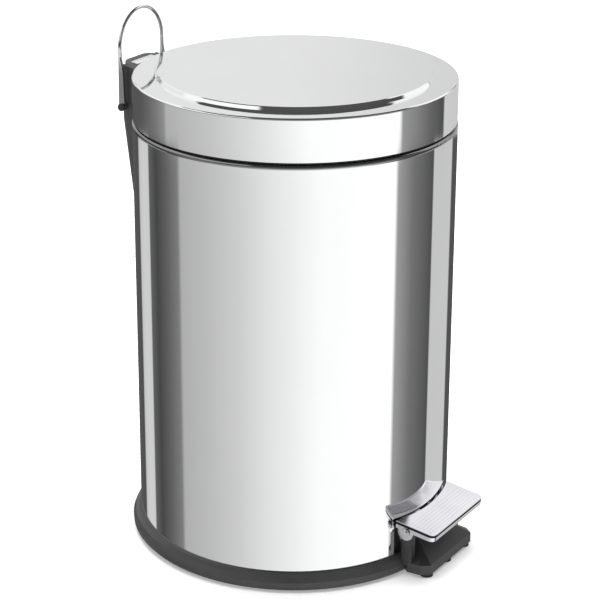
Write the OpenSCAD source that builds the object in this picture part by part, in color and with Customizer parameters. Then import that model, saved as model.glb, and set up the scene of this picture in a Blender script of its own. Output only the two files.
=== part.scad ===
// Round stainless pedal bin with a rear hinge housing and a carry handle, in millimetres.
// Origin on the floor under the middle of the body, +Z up, pedal towards -Y, hinge towards +Y.

/* [Body] */
// outside radius of the body sheet
body_r = 125; // [100:1:180]
// top of the body sheet above the floor
body_top = 339; // [250:1:450]
// bottom edge of the body sheet above the floor
body_bottom = 15; // [8:1:30]
// thickness of the stainless sheet
sheet_t = 1; // [0.6:0.1:2]

/* [Lid] */
// outside radius of the lid skirt
lid_r = 124.6; // [101:0.1:182]
// flat edge of the lid top above the floor
lid_top = 376; // [280:1:480]
// depth of the lid skirt
skirt_h = 32.7; // [15:0.1:60]
// height of the raised middle of the lid
plateau_h = 3; // [1:0.5:12]
// radius of the raised middle at its top
plateau_r = 104; // [60:1:150]
// how far the lid opens, in degrees
lid_open = 64; // [45:1:80]

/* [Pedal] */
// width of the foot tread
tread_w = 83; // [50:1:120]
// front edge of the tread, from the body axis
tread_front = 152.5; // [140:0.5:190]
// top of the tread above the floor, over its pivot
tread_top = 45; // [30:1:70]
// how far the tread slopes down to its front at rest, in degrees
tread_tilt = 8; // [0:1:15]
// pedal travel at full opening, in degrees
pedal_travel = 18; // [10:1:25]
// number of grip ribs on the tread
rib_count = 7; // [4:1:12]

/* [Hinge and handle] */
// half width of the rear hinge housing
house_w = 24.6; // [18:0.1:40]
// hinge axis behind the body axis
hinge_y = 135; // [128:0.5:150]
// hinge axis above the floor
hinge_z = 360; // [300:1:450]
// half width of the carry handle loop, to the middle of its rod
handle_half = 28.2; // [20:0.1:50]
// top of the carry handle above the floor
handle_top = 411; // [380:0.5:480]

/* [Bucket] */
// outside radius of the bucket under its rim
bucket_r = 105; // [80:1:150]
// underside of the bucket above the floor
bucket_bottom = 62; // [55:1:90]

/* [Hidden] */
$fn = 96;
slop = 0.3;
lip = 0.01;
skirt_z = lid_top - skirt_h;
pivot_y = -128;
pivot_z = tread_top - 7;
pin_r = 2.5;
hinge_pin_r = 2;
fit = 0.06;
rod_r = 3;
rod_y = 117;
rod_lift = 2 * (hinge_y - rod_y) * tan(lid_open / 2);
rod_pin_z = hinge_z - rod_lift / 2;
arm_r = rod_lift / (2 * sin(pedal_travel / 2));
arm_y = pivot_y + arm_r * cos(pedal_travel / 2);
arm_z = pivot_z - rod_lift / 2;
arm_nose = 4;
bar_z = arm_z + arm_nose + slop;
wall_rear = 152.5;
cap_rear = 151;
cap_mid = 367;
cap_tilt = 9;
house_round = 14;
cap_w = house_w - 3.2;
grip_y = 143.8;
grip_z = 334.5;
bail_z = 350.5;
bail_r = 104;
rim_z = 345.8;
ring_in = 107.5;

steel = [0.80, 0.81, 0.83];
satin = [0.84, 0.84, 0.88];
black = [0.20, 0.20, 0.20];
grey = [0.42, 0.42, 0.42];
rubber = [0.12, 0.12, 0.12];
zinc = [0.66, 0.67, 0.68];

// ---- shapes used by several parts ----

// a cylinder lying along X, centred at x
module rod_x(r, len, x = 0) {
    translate([x, 0, 0]) rotate([0, 90, 0]) cylinder(r = r, h = len, center = true);
}

// a cylinder along +Y starting at y = 0
module rod_y(r, len) {
    rotate([-90, 0, 0]) cylinder(r = r, h = len);
}

// a flat plate, drawn in the YZ plane, of thickness t centred at x
module plate_x(t, x = 0) {
    translate([x - t / 2, 0, 0]) rotate([90, 0, 90]) linear_extrude(t) children();
}

// the same shape on the left and on the right
module both_sides() {
    children();
    mirror([1, 0, 0]) children();
}

// a block given by its limits
module block(x, y, z) {
    translate([x[0], y[0], z[0]]) cube([x[1] - x[0], y[1] - y[0], z[1] - z[0]]);
}

// quarter arc from angle a to angle b, as outline points
function arc(cx, cy, r, a, b, n = 8) = [for (i = [0:n]) let (t = a + (b - a) * i / n)
    [cx + r * cos(t), cy + r * sin(t)]];

// everything above the sloping top of the hinge cap and cheeks
module above_cap() {
    on_cap() translate([-60, -60, 0]) cube([120, 120, 60]);
}

// places its children on that sloping top
module on_cap() {
    translate([0, 140, cap_mid]) rotate([cap_tilt, 0, 0]) children();
}

// outline, seen from above, of a box with rounded rear corners
module rear_plan(half, rear, round, front) {
    translate([-half, front]) square([2 * half, rear - round - front]);
    translate([round - half, front]) square([2 * (half - round), rear - front]);
    for (s = [-1, 1]) translate([s * (half - round), rear - round]) circle(r = round);
}

// tall block that leans in towards the body below z1, with rounded rear corners above it
module rear_block(half, rear, low_half, low_rear, round, z0, z1, z2) {
    hull() {
        block([-low_half, low_half], [100, low_rear], [z0, z0 + 1]);
        block([-half, half], [100, rear - round], [z1, z2]);
        for (s = [-1, 1]) translate([s * (half - round), rear - round, z1])
            cylinder(r = round, h = z2 - z1, $fn = 32);
    }
}

// turns its children about the pedal pivot, so that the tread slopes down to its front
module tilted() {
    translate([0, pivot_y, pivot_z]) rotate([tread_tilt, 0, 0]) translate([0, -pivot_y, -pivot_z]) children();
}

// a point of the YZ plane turned in the same way
function tilt_pt(y, z) = let (c = cos(tread_tilt), s = sin(tread_tilt))
    [pivot_y + (y - pivot_y) * c - (z - pivot_z) * s, pivot_z + (y - pivot_y) * s + (z - pivot_z) * c];

// tread outline: straight front with rounded corners, rear hollowed to the body
module tread_plan(inset, gap) {
    half = tread_w / 2 - inset;
    front = tread_front - inset;
    round = 5 - inset / 2;
    difference() {
        union() {
            translate([-half, round - front]) square([2 * half, front - round - 100]);
            translate([round - half, -front]) square([2 * (half - round), front - 100]);
            for (s = [-1, 1]) translate([s * (half - round), round - front]) circle(r = round);
        }
        circle(r = body_r + gap, $fn = 180);
    }
}

// ---- fixed parts of the bin ----

// rolled stainless cylinder with a bead at its top, a slot for the pedal arm and screw holes
module body_shell() {
    color(steel) difference() {
        rotate_extrude($fn = 180) {
            translate([body_r - sheet_t, body_bottom])
                square([sheet_t, body_top - body_bottom]);
            translate([body_r - 2.1, body_top + 0.1]) circle(r = 2.4, $fn = 48);
        }
        block([-10.5, 10.5], [-140, -100], [24, 43]);
        for (z = [225, 300]) translate([0, 115, z]) rod_y(2.2, 20);
    }
}

// moulded base: outer skirt, spigot inside the body, ledge for the bottom plate, front foot and pedal lugs
module base_ring() {
    color(black) difference() {
        union() {
            rotate_extrude($fn = 180) polygon([[112, 1.5], [128, 1], [131.2, 4.5], [131.6, 9],
                [129.6, 13.4], [126.6, 14.9], [body_r - sheet_t - 0.2, 14.9], [body_r - sheet_t - 0.2, 23],
                [121.6, 23], [121.6, 4], [112, 4]]);
            difference() {
                hull() {
                    translate([0, 0, 3]) linear_extrude(8)
                        polygon([[-28, -116], [-30, -122], [-39, -129], [-38.5, -140.5], [-33, -147],
                                 [33, -147], [38.5, -140.5], [39, -129], [30, -122], [28, -116]]);
                    block([-20, 20], [-128, -116], [20, 23.5]);
                }
                cylinder(r = 121.6, h = 60, $fn = 180);
                translate([0, 0, 14.9]) cylinder(r = body_r + 0.2, h = 20, $fn = 180);
            }
            for (s = [-1, 1]) plate_x(5.6, s * 36) {
                translate([pivot_y, pivot_z]) circle(r = 4.4);
                translate([pivot_y - 4.4, 8]) square([8.8, pivot_z - 8]);
            }
        }
        translate([0, pivot_y, pivot_z]) rod_x(pin_r + 0.02, 100);
        for (p = pad_places) translate([p[0], p[1], 0]) cylinder(r = 5.2, h = p[2]);
        for (a = [30, 150, 270]) rotate(a) translate([116.5, 0, 0]) cylinder(r = 1.6, h = 10);
        block([-9, 9], [-126, -119], [22, 30]);
    }
}

pad_places = concat([for (x = [-30, 0, 30]) [x, -141.5, 5]],
                    [for (a = [20, 90, 160, 215, 325]) [121 * cos(a), 121 * sin(a), 2.5]]);

// pressed disc that closes the underside of the body
module bottom_plate() {
    color(zinc) difference() {
        translate([0, 0, 4.05]) cylinder(r = 121.2, h = 1.2, $fn = 180);
        for (a = [30, 150, 270]) rotate(a) translate([116.5, 0, 0]) cylinder(r = 1.9, h = 10);
    }
}

// three self-tapping screws that hold the bottom plate on its ledge
module plate_screws() {
    color(zinc) for (a = [30, 150, 270]) rotate(a) translate([116.5, 0, 0]) {
        translate([0, 0, 1.8]) cylinder(r = 1.55, h = 4);
        translate([0, 0, 5.3]) cylinder(r = 3.2, h = 1.8);
    }
}

// rubber feet: three under the front foot, five round the ring
module foot_pads() {
    color(rubber) for (p = pad_places) translate([p[0], p[1], 0]) cylinder(r = 5, h = p[2]);
}

// black plastic ring on the body rim that carries the bucket
module rim_ring() {
    color(black) difference() {
        rotate_extrude($fn = 180) polygon([[ring_in, 341.6], [118.9, 341.6], [118.9, 333], [120.3, 333],
            [120.3, 341.8], [123.2, 341.8], [123.2, 342.4], [122.8, 342.8], [122.4, 342.8],
            [119.4, rim_z], [ring_in + 3.4, rim_z],
            [ring_in + 3.4, 343.2], [ring_in, 343.2]]);
        block([-10, 10], [100, 130], [330, 350]);
    }
}

// rubber buttons on the rim ring that the lid closes onto
module rim_buffers() {
    color(rubber) for (a = [200, 270, 340]) rotate(a) translate([117.5, 0, rim_z])
        cylinder(r = 3.5, h = 354 - slop - rim_z);
}

// hollow rear housing with two side cheeks for the lid hinge pin
module hinge_housing() {
    color(black) difference() {
        union() {
            difference() {
                rear_block(house_w, wall_rear, house_w - 2, 130, house_round, 192, 322, 372);
                rear_block(house_w - 2.9, wall_rear - 1.9, house_w - 4.9, 128.2, house_round - 2.5,
                           205, 323, 352);
                block([-house_w + 2.9, house_w - 2.9], [100, 170], [347, 400]);
            }
            for (z = [225, 300]) translate([0, 120, z])
                rod_y(5, z == 225 ? 14 : 27.5);
        }
        cylinder(r = body_r + 0.2, h = 345, $fn = 180);
        translate([0, 0, body_top - 4]) cylinder(r = body_r + 0.7, h = 10, $fn = 180);
        translate([0, 0, 344]) cylinder(r = lid_r + 1, h = 40, $fn = 180);
        difference() {
            block([-40, 40], [100, hinge_y], [hinge_z, 400]);
            translate([0, hinge_y, hinge_z]) rod_x(10.4, 90);
        }
        above_cap();
        translate([0, hinge_y, hinge_z]) rod_x(hinge_pin_r + 0.02, 100);
        translate([0, grip_y, grip_z]) rod_x(2.02, 100);
        for (z = [225, 300]) translate([0, 115, z]) rod_y(1.8, z == 225 ? 17 : 21);
    }
}

// two screws from inside the body into the housing bosses
module housing_screws() {
    color(zinc) for (z = [225, 300]) translate([0, 121.8, z]) {
        rod_y(3.6, 2);
        rod_y(1.78, z == 225 ? 10 : 14);
    }
}

// steel pin that the lid turns on
module hinge_pin() {
    color(zinc) translate([0, hinge_y, hinge_z]) {
        rod_x(hinge_pin_r, 2 * house_w + 1);
        both_sides() rod_x(3, 0.9, house_w + 0.55);
    }
}

// one rivet on each side for the carry handle
module handle_pins() {
    color(zinc) translate([0, grip_y, grip_z]) both_sides() {
        rod_x(2, handle_half + 8 - house_w, (handle_half + house_w - 5) / 2);
        rod_x(3, 1.2, handle_half + 1.75);
    }
}

// guide plate riveted inside the body for the push rod
module rod_guide(z) {
    difference() {
        union() {
            block([-11, 11], [110.5, 124.5], [z, z + 3]);
            block([-11, 11], [120.8, 124.5], [z, z + 14]);
        }
        translate([0, 0, z - 1]) difference() {
            cylinder(r = 140, h = 20);
            cylinder(r = body_r - sheet_t - 0.05, h = 20, $fn = 180);
        }
        translate([0, rod_y, z - 1]) cylinder(r = rod_r + fit, h = 20);
        for (s = [-1, 1]) translate([s * 7, 115, z + 9]) rod_y(1.5, 15);
    }
}

module upper_guide() {
    color(black) rod_guide(316);
}

module lower_guide() {
    color(black) rod_guide(88);
}

// two rivets in each guide
module guide_rivets() {
    color(zinc) for (z = [316, 88], s = [-1, 1]) translate([s * 7, 119.4, z + 9]) {
        rod_y(1.48, 4);
        rod_y(2.8, 1.3);
    }
}

// steel pin through the pedal cheeks and the base lugs
module pedal_pin() {
    color(steel) translate([0, pivot_y, pivot_z]) rod_x(pin_r, tread_w + 4.6);
}

// push-on clips on both ends of the pedal pin
module pin_clips() {
    color(zinc) translate([0, pivot_y, pivot_z]) both_sides() difference() {
        rod_x(3.8, 1, tread_w / 2 + 1);
        rod_x(pin_r + 0.01, 4, tread_w / 2 + 1);
    }
}

// plastic inner bucket that hangs by its rim
module inner_bucket() {
    color(grey) difference() {
        union() {
            rotate_extrude($fn = 180) polygon([[0, bucket_bottom], [95, bucket_bottom],
                [97, bucket_bottom + 2], [bucket_r, 343.3], [ring_in + 2.9, 343.3],
                [ring_in + 2.9, 345.5], [bucket_r - 2, 345.5], [95.2, bucket_bottom + 3.5],
                [94, bucket_bottom + 2.2], [0, bucket_bottom + 2.2]]);
            both_sides() {
                block([99.6, 103.8], [-6, 6], [335, 345]);
                block([99.6, 101.7], [-4.5, 4.5], [344, 355.5]);
            }
        }
        translate([0, 0, bail_z]) both_sides() rod_x(2.02, 12, 101);
    }
}

// short studs in the bucket ears that carry the bail
module bail_studs() {
    color(zinc) translate([0, 0, bail_z]) both_sides() {
        rod_x(2, 7.2, 102.5);
        rod_x(3, 1, 98.8);
        rod_x(3, 1, 106.5);
    }
}

// ---- lid ----

// pressed lid: flat edge, raised middle and skirt
module lid_shell() {
    e = 1.4;
    t = sheet_t;
    color(steel) difference() {
        rotate_extrude($fn = 180) polygon(concat(
            [[0, lid_top + plateau_h], [plateau_r, lid_top + plateau_h], [plateau_r + 0.8, lid_top + plateau_h - 0.4],
             [plateau_r + 2.2, lid_top + 0.3], [plateau_r + 2.8, lid_top]],
            arc(lid_r - e, lid_top - e, e, 90, 0),
            [[lid_r, skirt_z], [lid_r - t, skirt_z]],
            arc(lid_r - e, lid_top - e, e - t, 0, 90),
            [[plateau_r + 2.5, lid_top - t], [plateau_r + 1.5, lid_top - t + 0.3],
             [plateau_r + 0.2, lid_top + plateau_h - t - 0.5], [plateau_r - 0.5, lid_top + plateau_h - t],
             [0, lid_top + plateau_h - t]]));
        for (s = [-1, 1]) translate([s * 12, 110, 363.2]) rod_y(1.6, 30);
        block([-7, 7], [110, 140], [skirt_z - 1, skirt_z + 9.5]);
    }
}

// black plastic stiffening ring inside the lid, cut away round the lever, with a tab over each rim buffer
module lid_liner() {
    color(black) difference() {
        union() {
            rotate_extrude($fn = 180) polygon([[112, 372.2], [112, 374.6], [120.4, 374.6], [123.2, 371.6],
                [123.2, 354], [121.2, 354], [121.2, 371], [120, 372.2]]);
            for (a = [200, 270, 340]) rotate(a) block([114.5, 122.4], [-4.5, 4.5], [354, 355.6]);
        }
        block([-19, 19], [90, 140], [340, 380]);
    }
}

// steel lever under the rear of the lid: two slotted ears that the push rod lifts
module lid_lever() {
    ear = [hinge_y, hinge_z];
    color(zinc) difference() {
        union() {
            block([-10, 10], [110.5, 121.5], [372.9, 374.9]);
            both_sides() plate_x(2, 5.6) intersection() {
                hull() {
                    translate(ear) rotate(lid_open / 2) translate([-17.9, 0]) circle(r = 4.6, $fn = 32);
                    translate(ear) rotate(lid_open / 2) translate([-22.4, 0]) circle(r = 4.6, $fn = 32);
                    translate([113, 371]) square([8, 3]);
                }
                translate([100, 330]) square([22.9, 60]);
            }
        }
        both_sides() plate_x(4, 5.6) translate(ear) rotate(lid_open / 2) {
            translate([-22.4, -2.7]) square([4.5, 5.4]);
            translate([-17.9, 0]) circle(r = 2.7);
            translate([-22.4, 0]) circle(r = 2.7);
        }
        for (y = [113, 119], x = [-8.4, 8.4]) translate([x, y, 370]) cylinder(r = 0.85, h = 8);
    }
}

// spot rivets of the lever
module lever_rivets() {
    color(zinc) for (y = [113, 119], x = [-8.4, 8.4]) translate([x, y, 371.7]) {
        cylinder(r = 0.8, h = 3.2);
        cylinder(r = 1.5, h = 1.15);
    }
}

// hollow plastic cap on the lid that turns round the hinge pin between the cheeks
module hinge_cap() {
    color(grey) difference() {
        translate([0, 0, 348]) linear_extrude(26) rear_plan(cap_w, cap_rear, 12, 118);
        difference() {
            translate([0, 0, 345]) linear_extrude(19.5) rear_plan(cap_w - 2.8, cap_rear - 2, 9.6, 128.5);
            translate([0, 0, 345]) cylinder(r = 128.5, h = 40);
        }
        cylinder(r = lid_r + 0.05, h = 400, $fn = 180);
        translate([0, hinge_y, hinge_z]) rod_x(hinge_pin_r + fit, 60);
        for (s = [-1, 1]) translate([s * 12, 120, 363.2]) rod_y(1.4, 20);
        above_cap();
        on_cap() translate([0, 2, -0.5]) linear_extrude(2) square([28.1, 7], center = true);
        block([-8, 8], [118, 131], [347, 352.5]);
    }
}

// blank plate set into the top of the cap
module label_plate() {
    color([0.86, 0.86, 0.86]) on_cap() translate([0, 2, -0.5]) difference() {
        linear_extrude(0.8) square([27.5, 6.4], center = true);
        translate([0, 0, 0.5]) linear_extrude(1) square([25, 3.9], center = true);
    }
}

// two screws from inside the lid skirt into the cap
module cap_screws() {
    color(zinc) for (s = [-1, 1]) translate([s * 12, 120.7, 363.2]) {
        rod_y(2.8, 1.9);
        rod_y(1.38, 8);
    }
}

// ---- pedal and push rod ----

// tread with ribs, a rim set off by a groove, and two cheeks with the pivot holes
module pedal_tread() {
    rib_step = (tread_front - body_r - 7) / rib_count;
    t = 1.5;
    color(satin) difference() {
        tilted() {
            translate([0, 0, tread_top - t]) linear_extrude(t) tread_plan(0, -1);
            translate([0, 0, tread_top - 6]) linear_extrude(6) difference() {
                tread_plan(0, -1);
                tread_plan(2.2, -12);
            }
            for (i = [0:rib_count - 1]) let (y = -tread_front + 4.5 + i * rib_step)
                block([3 - tread_w / 2, tread_w / 2 - 3], [y, y + rib_step * 0.5],
                      [tread_top - lip, tread_top + 0.4]);
            for (s = [-1, 1]) plate_x(t, s * (tread_w / 2 - t / 2)) {
                translate([pivot_y, pivot_z]) circle(r = 6.6);
                translate([pivot_y - 6.6, pivot_z]) square([13.2, tread_top - pivot_z - 3.5]);
            }
        }
        tilted() translate([0, 0, tread_top - 2.6]) linear_extrude(1.2) difference() {
            tread_plan(-1, -30);
            tread_plan(0.8, -30);
        }
        cylinder(r = body_r + 1.6, h = 100, $fn = 180);
        translate([0, pivot_y, pivot_z]) rod_x(pin_r + fit, 120);
    }
}

// steel arm under the tread that reaches through the body to lift the rod
module pedal_arm() {
    top = tread_top - 1.55;
    color(zinc) difference() {
        union() {
            plate_x(13) polygon([tilt_pt(-148.5, top), tilt_pt(-134, top), [-122, 40], [arm_y, arm_z + 2.6],
                                 [arm_y, arm_z - 2.6], [-121, 34], [-126, 33.4], [-133.4, 33.4],
                                 tilt_pt(-135.6, 39.4), tilt_pt(-148.5, 39.4)]);
            translate([0, arm_y, arm_z]) rod_x(arm_nose, 15);
        }
        translate([0, pivot_y, pivot_z]) rod_x(pin_r + fit, 30);
        tilted() for (y = [-145.5, -138.5]) translate([0, y, 30]) cylinder(r = 1.6, h = 20);
    }
}

// two rivets that join the tread and the arm
module arm_rivets() {
    color(zinc) tilted() for (y = [-145.5, -138.5]) translate([0, y, 0]) {
        translate([0, 0, 39]) cylinder(r = 1.58, h = tread_top - 40.55);
        translate([0, 0, 38.3]) cylinder(r = 2.6, h = 1.05);
    }
}

// upright rod at the rear, inside the body
module push_rod() {
    color(zinc) difference() {
        translate([0, rod_y, bar_z + 5]) cylinder(r = rod_r, h = rod_pin_z + 3.4 - bar_z - 5);
        translate([0, rod_y, rod_pin_z]) rod_x(1.52, 20);
    }
}

// flat bar under the bucket that joins the rod to the pedal arm
module rod_foot() {
    color(zinc) difference() {
        union() {
            block([-7, 7], [arm_y - 7, rod_y + 5], [bar_z, bar_z + 4]);
            translate([0, rod_y, bar_z + 3]) cylinder(r = 5.6, h = 9);
        }
        translate([0, rod_y, bar_z + 5]) cylinder(r = rod_r + 0.01, h = 20);
    }
}

// cross pin at the top of the rod, held in the ears of the lid lever
module rod_pin() {
    color(steel) translate([0, rod_y, rod_pin_z]) {
        rod_x(1.5, 18);
        both_sides() rod_x(2, 4.6, 5.9);
        both_sides() rod_x(3.1, 0.8, 8.9);
    }
}

// ---- handles ----

// bail of round rod whose legs flatten into straps round the housing
module carry_handle() {
    r = 1.4;
    bend_z = handle_top - r - handle_half;
    back = grip_y + 1;
    strap = [handle_half - 1.2, handle_half + 1];
    color(steel) difference() {
        union() {
            translate([0, back, bend_z]) rotate([90, 0, 0])
                rotate_extrude(angle = 180) translate([handle_half, 0]) circle(r = r, $fn = 48);
            both_sides() {
                translate([handle_half, back, 372]) cylinder(r = r, h = bend_z - 372 + lip, $fn = 48);
                hull() {
                    translate([handle_half, back, 374]) cylinder(r = r, h = 1, $fn = 32);
                    block(strap, [grip_y - 1.9, grip_y + 2.3], [361, 362]);
                }
                hull() {
                    block(strap, [grip_y - 1.9, grip_y + 2.3], [360.5, 361.5]);
                    block(strap, [grip_y - 2.7, grip_y + 2.7], [grip_z, grip_z + 1]);
                }
                translate([0, grip_y, grip_z]) rod_x(3, handle_half + 0.3 - house_w, (house_w + handle_half + 1.7) / 2);
            }
        }
        translate([0, grip_y, grip_z]) rod_x(2 + fit, 100);
    }
}

// wire bail of the bucket, folded down over the front half of its rim
module bucket_bail() {
    color(zinc) difference() {
        union() {
            translate([0, 0, bail_z]) rotate(180) rotate_extrude(angle = 180, $fn = 120)
                translate([bail_r, 0]) circle(r = 1.7, $fn = 32);
            translate([0, 0, bail_z]) both_sides() rod_x(4, 2.6, bail_r);
        }
        translate([0, 0, bail_z]) rod_x(2 + fit, 300);
    }
}

// plastic grip on the middle of the bail
module bail_grip() {
    color(black) translate([0, 0, bail_z]) rotate(258) rotate_extrude(angle = 24, $fn = 120)
        translate([bail_r, 0]) difference() {
            circle(r = 3.6, $fn = 32);
            circle(r = 1.72, $fn = 32);
        }
}

body_shell();
base_ring();
bottom_plate();
plate_screws();
foot_pads();
rim_ring();
rim_buffers();
hinge_housing();
housing_screws();
hinge_pin();
handle_pins();
upper_guide();
lower_guide();
guide_rivets();
pedal_pin();
pin_clips();
inner_bucket();
bail_studs();
lid_shell();
lid_liner();
lid_lever();
lever_rivets();
hinge_cap();
label_plate();
cap_screws();
pedal_tread();
pedal_arm();
arm_rivets();
push_rod();
rod_foot();
rod_pin();
carry_handle();
bucket_bail();
bail_grip();
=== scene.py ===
import math

import bmesh
import bpy
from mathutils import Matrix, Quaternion, Vector

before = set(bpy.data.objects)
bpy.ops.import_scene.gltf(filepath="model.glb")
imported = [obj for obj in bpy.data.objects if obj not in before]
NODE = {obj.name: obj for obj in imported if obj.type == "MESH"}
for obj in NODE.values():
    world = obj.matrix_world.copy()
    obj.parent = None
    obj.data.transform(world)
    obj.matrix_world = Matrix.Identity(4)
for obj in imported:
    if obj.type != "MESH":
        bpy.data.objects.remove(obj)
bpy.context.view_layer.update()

# ---- places and sizes, in metres unless a name says otherwise ----

# The camera stands front left of the bin, looks down at it and leans a little; its roll is in degrees.
CAMERA_PLACE = (-1.3129, -0.8204, 0.7853)
CAMERA_LOOK = (0.79316, 0.49249, -0.35826)
CAMERA_ROLL = 0.278
CAMERA_LENS_MM = 125.285
CAMERA_SENSOR_MM = 36
CAMERA_CLIP = (0.05, 60)
# Directions in the studio are given round the bin from the camera's.
CAMERA_AZIMUTH = math.atan2(CAMERA_PLACE[1], CAMERA_PLACE[0])

# One soft round lamp hangs over the bin.
LAMP_PLACE = (0.2, 0.1, 2.6)
LAMP_TARGET = (0, 0, 0.1)
LAMP_WIDTH = 2.4
LAMP_WATTS = 95

# The floor glows more far from the bin, so that its far side stays pale: from the first strength at the
# first distance to the second at the second.
FLOOR_RADIUS = 14
FLOOR_GLOW = (0.3, 0.75)
FLOOR_GLOW_DISTANCE = (1.5, 5.0)

# The carry handle's legs are flattened below this height, and their steel is darker there by this factor.
STRAP_TOP = 0.374
STRAP_FADE = 0.012
STRAP_SHADE = 0.42
# The bead at the top of the body lies in the gap under the lid's skirt; painted shade darkens its steel
# between these two heights.
BEAD_SHADE_HEIGHTS = (0.3376, 0.3388)
# The tread turns on this axis, slopes down to its front, and has a groove under the edge of its plate,
# coloured dark with painted shade between these two heights.
TREAD_AXIS = (0.0, -0.128, 0.038)
TREAD_TILT = math.radians(8)
TREAD_GROOVE_SHADE = (0.0423, 0.0444)

# Fine lines in the steel, as noise scales round the bin, up it and outwards. Drawn lines run up the
# body's wall, and spun lines run in rings on the lid.
DRAWN_LINES = (420, 2.2, 60)
SPUN_LINES = (60, 2.2, 900)

# Two ends of each metal's colour, of the painted shade on the bead and of the floor's colour, and the one
# colour of the painted shade in the tread's groove, in linear light.
MIRROR_TONES = ((0.915, 0.918, 0.925, 1), (0.94, 0.942, 0.945, 1))
BEAD_SHADE_TONES = ((0.25, 0.25, 0.255, 1), (0.30, 0.30, 0.305, 1))
TREAD_TONES = ((0.80, 0.79, 0.835, 1), (0.87, 0.865, 0.90, 1))
GROOVE_SHADE_TONE = (0.05, 0.05, 0.055, 1)
PIN_TONES = ((0.70, 0.70, 0.71, 1), (0.82, 0.82, 0.83, 1))
ZINC_TONES = ((0.52, 0.53, 0.54, 1), (0.66, 0.67, 0.69, 1))
FLOOR_TONES = ((0.90, 0.90, 0.90, 1), (0.93, 0.93, 0.93, 1))

# Flags and cards stand round the bin in rings, one over the other, and show as bands in the steel. A ring
# is a list of (degrees, level). 0 degrees is the camera's side, more is to its right, and 180 is behind
# the bin. A level is in sRGB, from a dark flag at 60 or 80 to a lit card at 255 or more. The lowest ring
# shows in the body, the next in the lid's skirt.
BODY_RING = [
    (-180, 92), (-145.5, 80), (-144.5, 200), (-135, 212), (-126.5, 208), (-125.5, 100), (-115, 72),
    (-102, 100), (-90.5, 128), (-88, 180), (-65, 193), (-40, 210), (-18, 232), (3, 248), (19, 260),
    (75.2, 268), (76.7, 160), (92, 116), (114.1, 80), (115.1, 202), (146.5, 202), (148.0, 82),
]
SKIRT_RING = [
    (-180, 82), (-137, 88), (-126, 102), (-114, 124), (-104, 148), (-102, 181), (-60, 202), (-20, 234),
    (10, 262), (78.2, 266), (79.7, 156), (108, 106), (127.5, 76), (129, 210), (179, 200),
]
# Heights are sines of the angle over the horizon. The line between those two rings lies at LINE_SIDE
# behind the bin and dips by twice LINE_DIP at the camera's side. LINE_SOFT is half of its blur.
LINE_SIDE = -0.2815
LINE_DIP = 0.0087
LINE_SOFT = 0.002
# The other rings show in the bead, the lid's top, its edge and its raised middle. Each takes over from
# the one below between the two heights that stand before it.
UPPER_RINGS = [
    ((-0.20, -0.12), [
        (-180, 215), (-155, 215), (-138, 92), (-60, 60), (60, 56), (120, 92), (138, 222), (179.9, 215),
    ]),
    ((0.06, 0.12), [
        (-180, 232), (-175, 233), (-150, 236), (-60, 240), (-44, 165), (40, 165), (50, 170), (100, 172),
        (106, 256), (140, 256), (143, 140), (152, 140), (155, 216), (175.9, 217), (177.2, 222), (179.5, 231),
    ]),
    ((0.37, 0.40), [
        (-180, 84), (-176, 84), (-175, 248), (-60, 262), (-36, 262), (-33, 78), (20, 82), (103, 76),
        (107, 262), (174.5, 250), (175.5, 84),
    ]),
    ((0.71, 0.74), [(-180, 76), (0, 82), (179, 76)]),
]


# ---- nodes ----


def linear(level):
    """Linear light of an sRGB level from 0 to 255."""
    c = level / 255
    return c / 12.92 if c <= 0.04045 else ((c + 0.055) / 1.055) ** 2.4


def grey(level):
    """A grey in linear light, from its sRGB level."""
    v = linear(level)
    return (v, v, v, 1.0)


def feed(tree, value, socket):
    """Gives an input a plain value, or links it to an output."""
    if isinstance(value, bpy.types.NodeSocket):
        tree.links.new(value, socket)
    else:
        socket.default_value = value


def math_node(tree, kind, a, b=0.0):
    node = tree.nodes.new("ShaderNodeMath")
    node.operation = kind
    for i, value in enumerate((a, b)):
        feed(tree, value, node.inputs[i])
    return node.outputs["Value"]


def range_node(tree, value, start, end, low, high, kind="LINEAR"):
    """Runs from low to high as the value runs from start to end."""
    node = tree.nodes.new("ShaderNodeMapRange")
    node.interpolation_type = kind
    parts = {"Value": value, "From Min": start, "From Max": end, "To Min": low, "To Max": high}
    for name, part in parts.items():
        feed(tree, part, node.inputs[name])
    return node.outputs["Result"]


def ramp_node(tree, value, stops):
    """Colours along a value, from (place, colour) stops."""
    node = tree.nodes.new("ShaderNodeValToRGB")
    elements = node.color_ramp.elements
    while len(elements) > 1:
        elements.remove(elements[-1])
    elements[0].position, elements[0].color = stops[0]
    for place, colour in stops[1:]:
        elements.new(place).color = colour
    feed(tree, value, node.inputs["Fac"])
    return node.outputs["Color"]


def mix_node(tree, part, a, b):
    """Colour a where part is 0, and colour b where it is 1."""
    node = tree.nodes.new("ShaderNodeMix")
    node.data_type = "RGBA"
    for name, value in (("Factor", part), ("A", a), ("B", b)):
        feed(tree, value, node.inputs[name])
    return node.outputs["Result"]


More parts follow.
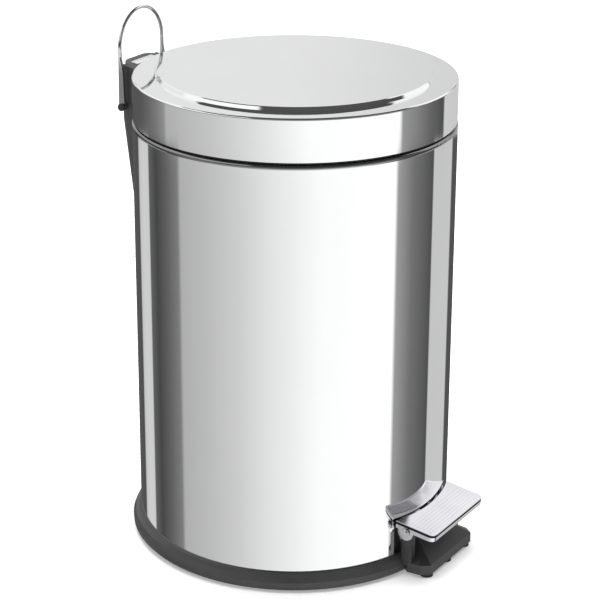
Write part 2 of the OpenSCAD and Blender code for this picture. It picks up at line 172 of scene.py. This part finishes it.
class Nodes:
    """A material's node tree, with short calls for the nodes used here."""

    def __init__(self, name):
        self.material = bpy.data.materials.new(name)
        self.material.use_nodes = True
        self.tree = self.material.node_tree
        self.shader = self.tree.nodes["Principled BSDF"]
        self.coords = self.tree.nodes.new("ShaderNodeTexCoord").outputs["Object"]

    def put(self, **values):
        """Sets or links the shader's inputs, with _ for each space in a name."""
        for key, value in values.items():
            feed(self.tree, value, self.shader.inputs[key.replace("_", " ")])

    def split(self):
        """The outputs X, Y and Z of the place on the object."""
        node = self.tree.nodes.new("ShaderNodeSeparateXYZ")
        feed(self.tree, self.coords, node.inputs["Vector"])
        return node.outputs

    def around(self):
        """Coordinates that run round the bin's axis: (angle, height, radius)."""
        place = self.split()
        angle = self.math("ARCTAN2", place["Y"], place["X"])
        square = self.math("ADD", self.math("MULTIPLY", place["X"], place["X"]),
                           self.math("MULTIPLY", place["Y"], place["Y"]))
        joined = self.tree.nodes.new("ShaderNodeCombineXYZ")
        for name, value in (("X", angle), ("Y", place["Z"]), ("Z", self.math("SQRT", square))):
            feed(self.tree, value, joined.inputs[name])
        return joined.outputs["Vector"]

    def noise(self, scale, stretch=(1, 1, 1), detail=3.0, rough=0.5, coords=None):
        """Noise from 0 to 1. Stretch multiplies the scale along each axis."""
        place = self.tree.nodes.new("ShaderNodeMapping")
        place.inputs["Scale"].default_value = stretch
        feed(self.tree, coords or self.coords, place.inputs["Vector"])
        node = self.tree.nodes.new("ShaderNodeTexNoise")
        parts = {"Vector": place.outputs["Vector"], "Scale": scale, "Detail": detail, "Roughness": rough}
        for name, value in parts.items():
            feed(self.tree, value, node.inputs[name])
        return node.outputs["Fac"]

    def math(self, kind, a, b=0.0):
        return math_node(self.tree, kind, a, b)

    def span(self, value, low, high, start=0.3, end=0.7):
        """Runs from low to high as the value, most often noise, runs from start to end."""
        return range_node(self.tree, value, start, end, low, high)

    def tones(self, value, pair, start=0.3, end=0.7):
        """Runs from one colour of a pair to the other as the value runs from start to end."""
        return ramp_node(self.tree, value, [(start, pair[0]), (end, pair[1])])

    def mix(self, part, a, b):
        return mix_node(self.tree, part, a, b)

    def bump(self, value, strength, distance):
        """Raises the surface by the value, on top of any bump before it."""
        node = self.tree.nodes.new("ShaderNodeBump")
        parts = {"Height": value, "Strength": strength, "Distance": distance}
        for name, part in parts.items():
            feed(self.tree, part, node.inputs[name])
        before = self.shader.inputs["Normal"]
        if before.is_linked:
            feed(self.tree, before.links[0].from_socket, node.inputs["Normal"])
        feed(self.tree, node.outputs["Normal"], before)


# ---- materials ----


def mirror_steel(name, rough, lines, shade_heights=None):
    """Polished stainless: a mirror with faint lines, haze and wiping marks, and painted shade from the given
    heights upwards.
    """
    n = Nodes(name)
    streaks = n.noise(1.0, stretch=lines, detail=4, rough=0.6, coords=n.around())
    haze = n.noise(14, stretch=(1, 1, 0.5), detail=4, rough=0.55)
    smears = n.noise(5, stretch=(1, 1, 2), detail=2, rough=0.4)
    wear = n.math("MULTIPLY", n.span(haze, 0.6, 1.5), n.span(smears, 0.75, 1.35))
    wear = n.math("MULTIPLY", wear, n.span(streaks, 0.8, 1.25))
    colour = n.tones(haze, MIRROR_TONES)
    if shade_heights:
        # Painted shade on the bead, which lies in the gap under the lid's skirt.
        colour = n.mix(n.span(n.split()["Z"], 0.0, 1.0, *shade_heights), colour, n.tones(haze, BEAD_SHADE_TONES))
    n.put(Metallic=1.0, Roughness=n.math("MULTIPLY", wear, rough), Base_Color=colour)
    n.bump(streaks, 0.02, 0.00002)
    return n.material


def rod_steel(name, rough):
    """Bright drawn rod: shiny, with fine scratches, and darker where its legs are flattened."""
    n = Nodes(name)
    scratch = n.noise(1300, stretch=(1, 1, 0.12), rough=0.6)
    cloud = n.noise(70)
    gloss = n.math("MULTIPLY", n.span(scratch, 0.7, 1.5), n.span(cloud, rough * 0.7, rough * 1.4))
    # The steel is darker below STRAP_TOP, fading in over STRAP_FADE.
    low_darkening = n.span(n.split()["Z"], STRAP_SHADE, 1.0, STRAP_TOP - STRAP_FADE, STRAP_TOP)
    tone = n.math("MULTIPLY", n.span(cloud, 0.82, 0.92), low_darkening)
    joined = n.tree.nodes.new("ShaderNodeCombineColor")
    for channel in ("Red", "Green", "Blue"):
        feed(n.tree, tone, joined.inputs[channel])
    n.put(Metallic=1.0, Roughness=gloss, Base_Color=joined.outputs["Color"])
    n.bump(scratch, 0.06, 0.00003)
    return n.material


def satin_steel(name):
    """Satin pressed steel of the tread: soft sheen, fine grain, scuffs from shoes, and painted shade in the
    groove under its plate.
    """
    n = Nodes(name)
    grain = n.noise(700, stretch=(0.05, 1, 1), rough=0.6)
    scuff = n.noise(60, stretch=(1, 0.4, 1), detail=4, rough=0.6)
    cloud = n.noise(25)
    gloss = n.math("ADD", n.span(grain, 0.13, 0.20), n.span(scuff, -0.02, 0.06, 0.45, 0.75))
    # Painted shade in the groove under the edge of the tread's plate, found by height across the tilted
    # tread.
    place = n.split()
    across = n.math("MULTIPLY", n.math("SUBTRACT", place["Y"], TREAD_AXIS[1]), -math.sin(TREAD_TILT))
    up = n.math("MULTIPLY", n.math("SUBTRACT", place["Z"], TREAD_AXIS[2]), math.cos(TREAD_TILT))
    level = n.math("ADD", n.math("ADD", across, up), TREAD_AXIS[2])
    in_groove_shade = n.math("MULTIPLY", n.math("GREATER_THAN", level, TREAD_GROOVE_SHADE[0]),
                    n.math("LESS_THAN", level, TREAD_GROOVE_SHADE[1]))
    n.put(Metallic=1.0, Roughness=gloss, Base_Color=n.mix(in_groove_shade, n.tones(cloud, TREAD_TONES), GROOVE_SHADE_TONE))
    n.bump(grain, 0.03, 0.00002)
    return n.material


def zinc_bright(name):
    """Bright-plated steel of small pins: shiny, with tool marks."""
    n = Nodes(name)
    marks = n.noise(900, rough=0.6)
    n.put(Metallic=1.0, Roughness=n.span(marks, 0.10, 0.22), Base_Color=n.tones(marks, PIN_TONES))
    n.bump(marks, 0.05, 0.00003)
    return n.material


def dark_steel(name):
    """Steel with a black oxide coat, rubbed in places."""
    n = Nodes(name)
    rubbed = n.noise(420, detail=4, rough=0.6)
    colour = n.tones(rubbed, (grey(58), grey(96)), start=0.35)
    n.put(Metallic=0.8, Roughness=n.span(rubbed, 0.30, 0.50), Base_Color=colour)
    n.bump(rubbed, 0.08, 0.00004)
    return n.material


def zinc_steel(name):
    """Zinc-plated steel: dull, with cloudy spangle."""
    n = Nodes(name)
    spangle = n.tree.nodes.new("ShaderNodeTexVoronoi")
    spangle.inputs["Scale"].default_value = 240
    feed(n.tree, n.coords, spangle.inputs["Vector"])
    cloud = n.noise(90, detail=4, rough=0.6)
    colour = n.tones(spangle.outputs["Distance"], ZINC_TONES, start=0.0, end=0.9)
    n.put(Metallic=1.0, Roughness=n.span(cloud, 0.28, 0.48), Base_Color=colour)
    n.bump(cloud, 0.12, 0.00005)
    return n.material


def moulded_plastic(name, level, rough):
    """Injection-moulded plastic: fine spark-eroded grain, uneven gloss and a slightly uneven colour."""
    n = Nodes(name)
    grain = n.noise(2600, rough=0.6)
    cloud = n.noise(30, detail=4, rough=0.55)
    gloss = n.math("ADD", n.span(grain, -0.04, 0.05), n.span(cloud, rough - 0.05, rough + 0.08))
    n.put(Roughness=gloss, Base_Color=n.tones(cloud, (grey(level * 0.92), grey(level * 1.10))))
    n.bump(grain, 0.25, 0.00006)
    n.bump(cloud, 0.03, 0.0003)
    return n.material


def rubber(name):
    """Matt black rubber with a fine skin, a little dusty."""
    n = Nodes(name)
    skin = n.noise(1800, detail=4, rough=0.7)
    dust = n.noise(160, detail=4, rough=0.6)
    colour = n.tones(dust, (grey(30), grey(52)), start=0.35)
    n.put(Roughness=n.span(dust, 0.62, 0.85), Base_Color=colour)
    n.bump(skin, 0.3, 0.0001)
    return n.material


def label_foil(name):
    """Pale satin foil of the blank plate, brushed along its length."""
    n = Nodes(name)
    brush = n.noise(3000, stretch=(0.03, 1, 1), rough=0.6)
    colour = n.tones(brush, (grey(206), grey(232)))
    n.put(Metallic=0.35, Roughness=n.span(brush, 0.25, 0.42), Base_Color=colour)
    n.bump(brush, 0.12, 0.00003)
    return n.material


# The body's steel has painted shade on its bead.
BODY_STEEL = mirror_steel("body_steel", 0.035, DRAWN_LINES, shade_heights=BEAD_SHADE_HEIGHTS)
LID_STEEL = mirror_steel("lid_steel", 0.05, SPUN_LINES)
ROD_STEEL = rod_steel("rod_steel", 0.10)
PIN_STEEL = zinc_bright("pin_steel")
TREAD_STEEL = satin_steel("tread_steel")
ZINC = zinc_steel("zinc_plate")
BLACK = moulded_plastic("black_moulded", 66, 0.42)
HOUSING_BLACK = moulded_plastic("housing_moulded", 66, 0.40)
RING_BLACK = moulded_plastic("ring_moulded", 40, 0.45)
GREY = moulded_plastic("bucket_moulded", 96, 0.40)
OXIDE = dark_steel("dark_oxide")
RUBBER = rubber("rubber_moulded")
FOIL = label_foil("label_foil")

# Nodes that aren't named here are zinc-plated.
FINISH = {
    "body_shell": BODY_STEEL,
    "lid_shell": LID_STEEL,
    "carry_handle": ROD_STEEL,
    "pedal_pin": PIN_STEEL,
    "pin_clips": PIN_STEEL,
    "pedal_tread": TREAD_STEEL,
    "hinge_pin": OXIDE,
    "handle_pins": OXIDE,
    "base_ring": BLACK,
    "hinge_housing": HOUSING_BLACK,
    "hinge_cap": HOUSING_BLACK,
    "rim_ring": RING_BLACK,
    "lid_liner": RING_BLACK,
    "upper_guide": RING_BLACK,
    "lower_guide": RING_BLACK,
    "bail_grip": RING_BLACK,
    "inner_bucket": GREY,
    "foot_pads": RUBBER,
    "rim_buffers": RUBBER,
    "label_plate": FOIL,
}
for node_name, thing in NODE.items():
    for slot in thing.material_slots:
        slot.material = FINISH.get(node_name, ZINC)


# ---- studio ----


def studio_world():
    """The rings of flags and cards as the steel sees them, and plain white behind the bin for the camera."""
    world = bpy.data.worlds.new("studio")
    bpy.context.scene.world = world
    world.use_nodes = True
    tree = world.node_tree
    make, join = tree.nodes.new, tree.links.new
    tree.nodes.clear()

    def calc(kind, a, b=0.0):
        return math_node(tree, kind, a, b)

    parts = make("ShaderNodeSeparateXYZ")
    join(make("ShaderNodeTexCoord").outputs["Generated"], parts.inputs["Vector"])
    height = parts.outputs["Z"]
    # A whole turn round the bin runs from 0 to 1, starting behind it, with the camera's side at a half.
    angle = calc("SUBTRACT", calc("ARCTAN2", parts.outputs["Y"], parts.outputs["X"]), CAMERA_AZIMUTH)
    turn = calc("FRACT", calc("ADD", calc("DIVIDE", angle, 2 * math.pi), 2.5))
    from_camera = calc("MULTIPLY", calc("SUBTRACT", turn, 0.5), 2 * math.pi)
    dip = calc("MULTIPLY", LINE_DIP, calc("ADD", 1.0, calc("COSINE", from_camera)))
    line = calc("SUBTRACT", LINE_SIDE, dip)

    def ring(stops):
        return ramp_node(tree, turn, [((degrees + 180) / 360, grey(level)) for degrees, level in stops])

    def over(below, stops, start, end):
        """Puts a ring over what is below it, blended between two heights."""
        part = range_node(tree, height, start, end, 0.0, 1.0, "SMOOTHSTEP")
        return mix_node(tree, part, below, ring(stops))

    line_low, line_high = calc("SUBTRACT", line, LINE_SOFT), calc("ADD", line, LINE_SOFT)
    colour = over(ring(BODY_RING), SKIRT_RING, line_low, line_high)
    for heights, stops in UPPER_RINGS:
        colour = over(colour, stops, *heights)
    room = make("ShaderNodeBackground")
    join(colour, room.inputs["Color"])
    plain = make("ShaderNodeBackground")
    plain.inputs["Color"].default_value = (1, 1, 1, 1)
    pick = make("ShaderNodeMixShader")
    join(make("ShaderNodeLightPath").outputs["Is Camera Ray"], pick.inputs["Fac"])
    join(room.outputs["Background"], pick.inputs[1])
    join(plain.outputs["Background"], pick.inputs[2])
    join(pick.outputs["Shader"], make("ShaderNodeOutputWorld").inputs["Surface"])


def floor():
    """A pale floor. The steel doesn't mirror it, so the rings show in the steel down to the base."""
    mesh = bpy.data.meshes.new("floor")
    shape = bmesh.new()
    bmesh.ops.create_circle(shape, cap_ends=True, segments=96, radius=FLOOR_RADIUS)
    shape.to_mesh(mesh)
    shape.free()
    thing = bpy.data.objects.new("floor", mesh)
    bpy.context.scene.collection.objects.link(thing)
    n = Nodes("pale_floor")
    away = n.tree.nodes.new("ShaderNodeVectorMath")
    away.operation = "LENGTH"
    feed(n.tree, n.coords, away.inputs[0])
    n.put(Roughness=0.9, Specular_IOR_Level=0.0, Emission_Color=(1, 1, 1, 1),
          Emission_Strength=n.span(away.outputs["Value"], *FLOOR_GLOW, *FLOOR_GLOW_DISTANCE),
          Base_Color=n.tones(n.noise(3, detail=2), FLOOR_TONES))
    mesh.materials.append(n.material)
    thing.visible_glossy = False


def lamp():
    data = bpy.data.lights.new("top_soft", "AREA")
    data.shape = "DISK"
    data.size = LAMP_WIDTH
    data.energy = LAMP_WATTS
    thing = bpy.data.objects.new("top_soft", data)
    bpy.context.scene.collection.objects.link(thing)
    thing.location = LAMP_PLACE
    thing.rotation_euler = (Vector(LAMP_TARGET) - Vector(LAMP_PLACE)).to_track_quat("-Z", "Y").to_euler()
    thing.visible_glossy = False


def camera():
    data = bpy.data.cameras.new("camera")
    data.lens = CAMERA_LENS_MM
    data.sensor_width = CAMERA_SENSOR_MM
    data.clip_start, data.clip_end = CAMERA_CLIP
    thing = bpy.data.objects.new("camera", data)
    bpy.context.scene.collection.objects.link(thing)
    thing.location = CAMERA_PLACE
    turn = Vector(CAMERA_LOOK).to_track_quat("-Z", "Y") @ Quaternion((0, 0, 1), math.radians(CAMERA_ROLL))
    thing.rotation_euler = turn.to_euler()
    bpy.context.scene.camera = thing


studio_world()
floor()
lamp()
camera()
bpy.context.scene.view_settings.view_transform = "Standard"
bpy.context.scene.view_settings.look = "None"
